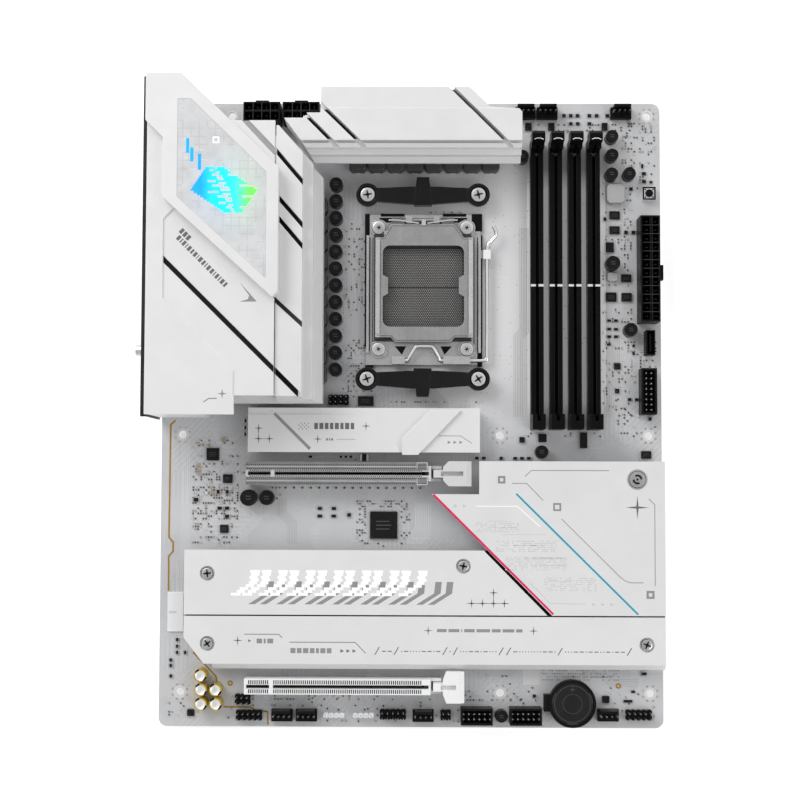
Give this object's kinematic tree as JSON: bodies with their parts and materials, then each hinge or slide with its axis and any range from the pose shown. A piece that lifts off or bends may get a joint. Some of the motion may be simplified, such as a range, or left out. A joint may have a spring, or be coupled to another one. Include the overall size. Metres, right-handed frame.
{
  "type": "computer motherboard",
  "caption": "Full-size light grey computer motherboard with a land-grid processor socket, memory and expansion slots, white heatsinks and clip-on drive covers.",
  "frame": {"origin": "centre of the rectangle of the four outer standoff holes of the two lower rows, on the underside of the board", "axes": "+X from the rear connectors to the front edge, +Y towards the processor end, +Z out of the component side"},
  "size_m": [0.2522, 0.3084, 0.0468],
  "materials": {
    "circuit_board": "light silver-grey solder mask",
    "black_steel": "black coated steel",
    "socket_plastic": "dark moulded plastic with gold contacts",
    "socket_steel": "bright stamped stainless steel",
    "bright_screw": "nickel plated screws",
    "lever_wire": "bright nickel plated wire",
    "black_plastic": "black moulded nylon",
    "slot_grey_plastic": "light grey moulded plastic",
    "slot_steel": "formed stainless jacket",
    "latch_grey_plastic": "light grey moulded plastic",
    "white_plastic": "white moulded plastic",
    "satin_white": "satin white with fine grain",
    "light_window": "frosted window with soft multicolour glow",
    "shield_metal": "dark coated steel",
    "port_steel": "tinned steel shells",
    "antenna_metal": "plated threaded connectors",
    "cover_screw": "zinc plated steel",
    "thermal_pad": "soft grey-blue silicone pad",
    "chip_epoxy": "black moulded epoxy",
    "choke_ferrite": "pressed grey ferrite",
    "black_can": "black aluminium cans",
    "gold_sleeve": "gold sleeve with silver top",
    "battery_steel": "nickel plated steel cell",
    "switch_metal": "tinned steel switch shell",
    "memory_plastic": "black moulded plastic"
  },
  "bodies": {
    "board": {"circuit_board": "circuit_board", "socket_backplate": "black_steel", "socket_body": "socket_plastic", "socket_frame": "socket_steel", "socket_screws": "bright_screw", "cooler_brackets": "black_plastic", "cooler_bracket_screws": "bright_screw", "expansion_slot_upper": "slot_grey_plastic", "expansion_slot_shield": "slot_steel", "expansion_slot_lower": "white_plastic", "rear_cover": "satin_white", "light_window": "light_window", "rear_heatsink": "satin_white", "top_heatsink": "satin_white", "rear_shield": "shield_metal", "usb_ports": "port_steel", "video_ports": "port_steel", "network_port": "port_steel", "audio_jacks": "black_plastic", "antenna_module": "antenna_metal", "drive_cover_middle": "satin_white", "chipset_heatsink": "satin_white", "drive_cover_lower": "satin_white", "cover_screws": "cover_screw", "drive_sockets": "black_plastic", "thermal_pads": "thermal_pad", "power_stages": "chip_epoxy", "chokes": "choke_ferrite", "capacitors": "black_can", "audio_capacitors": "gold_sleeve", "cpu_power_connectors": "black_plastic", "main_power_connector": "black_plastic", "pin_headers": "black_plastic", "usb_headers": "black_plastic", "fan_headers": "black_plastic", "battery_holder": "black_plastic", "battery": "battery_steel", "logic_chips": "chip_epoxy", "button_switches": "switch_metal", "memory_slot_1": "memory_plastic", "memory_slot_2": "memory_plastic", "memory_slot_3": "memory_plastic", "memory_slot_4": "memory_plastic"},
    "load_plate": {"load_plate": "socket_steel"},
    "load_lever": {"load_lever": "lever_wire"},
    "expansion_latch_upper": {"expansion_latch_upper": "latch_grey_plastic"},
    "expansion_latch_lower": {"expansion_latch_lower": "white_plastic"},
    "firmware_button": {"firmware_button": "black_plastic"},
    "clear_settings_button": {"clear_settings_button": "white_plastic"},
    "drive_cover_upper": {"drive_cover_upper": "satin_white"},
    "cover_release_slider": {"cover_release_slider": "satin_white"},
    "start_button": {"start_button": "black_plastic"},
    "memory_latch_1": {"memory_latch_1": "black_plastic"},
    "memory_latch_2": {"memory_latch_2": "black_plastic"},
    "memory_latch_3": {"memory_latch_3": "black_plastic"},
    "memory_latch_4": {"memory_latch_4": "black_plastic"},
    "drive_latch_1": {"drive_latch_1": "black_plastic"},
    "drive_latch_2": {"drive_latch_2": "black_plastic"},
    "drive_latch_3": {"drive_latch_3": "black_plastic"},
    "drive_latch_4": {"drive_latch_4": "black_plastic"}
  },
  "joints": [
    {"name": "memory_latch_1_hinge", "type": "hinge", "parent": "board", "child": "memory_latch_1", "pos_m": [0.05908, 0.20286, 0.0052], "axis": [-1, 0, 0], "range_deg": [0, 25]},
    {"name": "memory_latch_2_hinge", "type": "hinge", "parent": "board", "child": "memory_latch_2", "pos_m": [0.06828, 0.20286, 0.0052], "axis": [-1, 0, 0], "range_deg": [0, 25]},
    {"name": "memory_latch_3_hinge", "type": "hinge", "parent": "board", "child": "memory_latch_3", "pos_m": [0.07748, 0.20286, 0.0052], "axis": [-1, 0, 0], "range_deg": [0, 25]},
    {"name": "memory_latch_4_hinge", "type": "hinge", "parent": "board", "child": "memory_latch_4", "pos_m": [0.08668, 0.20286, 0.0052], "axis": [-1, 0, 0], "range_deg": [0, 25]},
    {"name": "expansion_latch_upper_hinge", "type": "hinge", "parent": "board", "child": "expansion_latch_upper", "pos_m": [0.01038, 0.04346, 0.005], "axis": [0, 1, 0], "range_deg": [0, 15]},
    {"name": "expansion_latch_lower_hinge", "type": "hinge", "parent": "board", "child": "expansion_latch_lower", "pos_m": [0.01038, -0.05814, 0.005], "axis": [0, 1, 0], "range_deg": [0, 15]},
    {"name": "load_plate_hinge", "type": "hinge", "parent": "board", "child": "load_plate", "pos_m": [0.00347, 0.16726, 0.0054], "axis": [-1, 0, 0], "range_deg": [0, 100]},
    {"name": "load_lever_hinge", "type": "hinge", "parent": "board", "child": "load_lever", "pos_m": [0.00347, 0.09856, 0.005], "axis": [1, 0, 0], "range_deg": [0, 105]},
    {"name": "start_button_press", "type": "slide", "parent": "board", "child": "start_button", "axis": [0, 0, -1], "range_m": [0, 0.00025], "stiffness_N_per_m": 4000},
    {"name": "firmware_button_press", "type": "slide", "parent": "board", "child": "firmware_button", "axis": [1, 0, 0], "range_m": [0, 0.0008], "stiffness_N_per_m": 2000},
    {"name": "clear_settings_button_press", "type": "slide", "parent": "board", "child": "clear_settings_button", "axis": [1, 0, 0], "range_m": [0, 0.0008], "stiffness_N_per_m": 2000},
    {"name": "drive_cover_lift", "type": "slide", "parent": "board", "child": "drive_cover_upper", "axis": [0, 0, 1], "range_m": [0, 0.03]},
    {"name": "cover_release_slide", "type": "slide", "parent": "drive_cover_upper", "child": "cover_release_slider", "axis": [1, 0, 0], "range_m": [0, 0.003]},
    {"name": "drive_latch_1_turn", "type": "hinge", "parent": "board", "child": "drive_latch_1", "pos_m": [0.01468, 0.06446, 0.003], "axis": [0, 0, 1], "range_deg": [0, 90]},
    {"name": "drive_latch_2_turn", "type": "hinge", "parent": "board", "child": "drive_latch_2", "pos_m": [-0.00332, -0.00894, 0.003], "axis": [0, 0, 1], "range_deg": [0, 90]},
    {"name": "drive_latch_3_turn", "type": "hinge", "parent": "board", "child": "drive_latch_3", "pos_m": [-0.00332, -0.03724, 0.003], "axis": [0, 0, 1], "range_deg": [0, 90]},
    {"name": "drive_latch_4_turn", "type": "hinge", "parent": "board", "child": "drive_latch_4", "pos_m": [0.09367, -0.03724, 0.003], "axis": [0, 0, 1], "range_deg": [0, 90]}
  ]
}
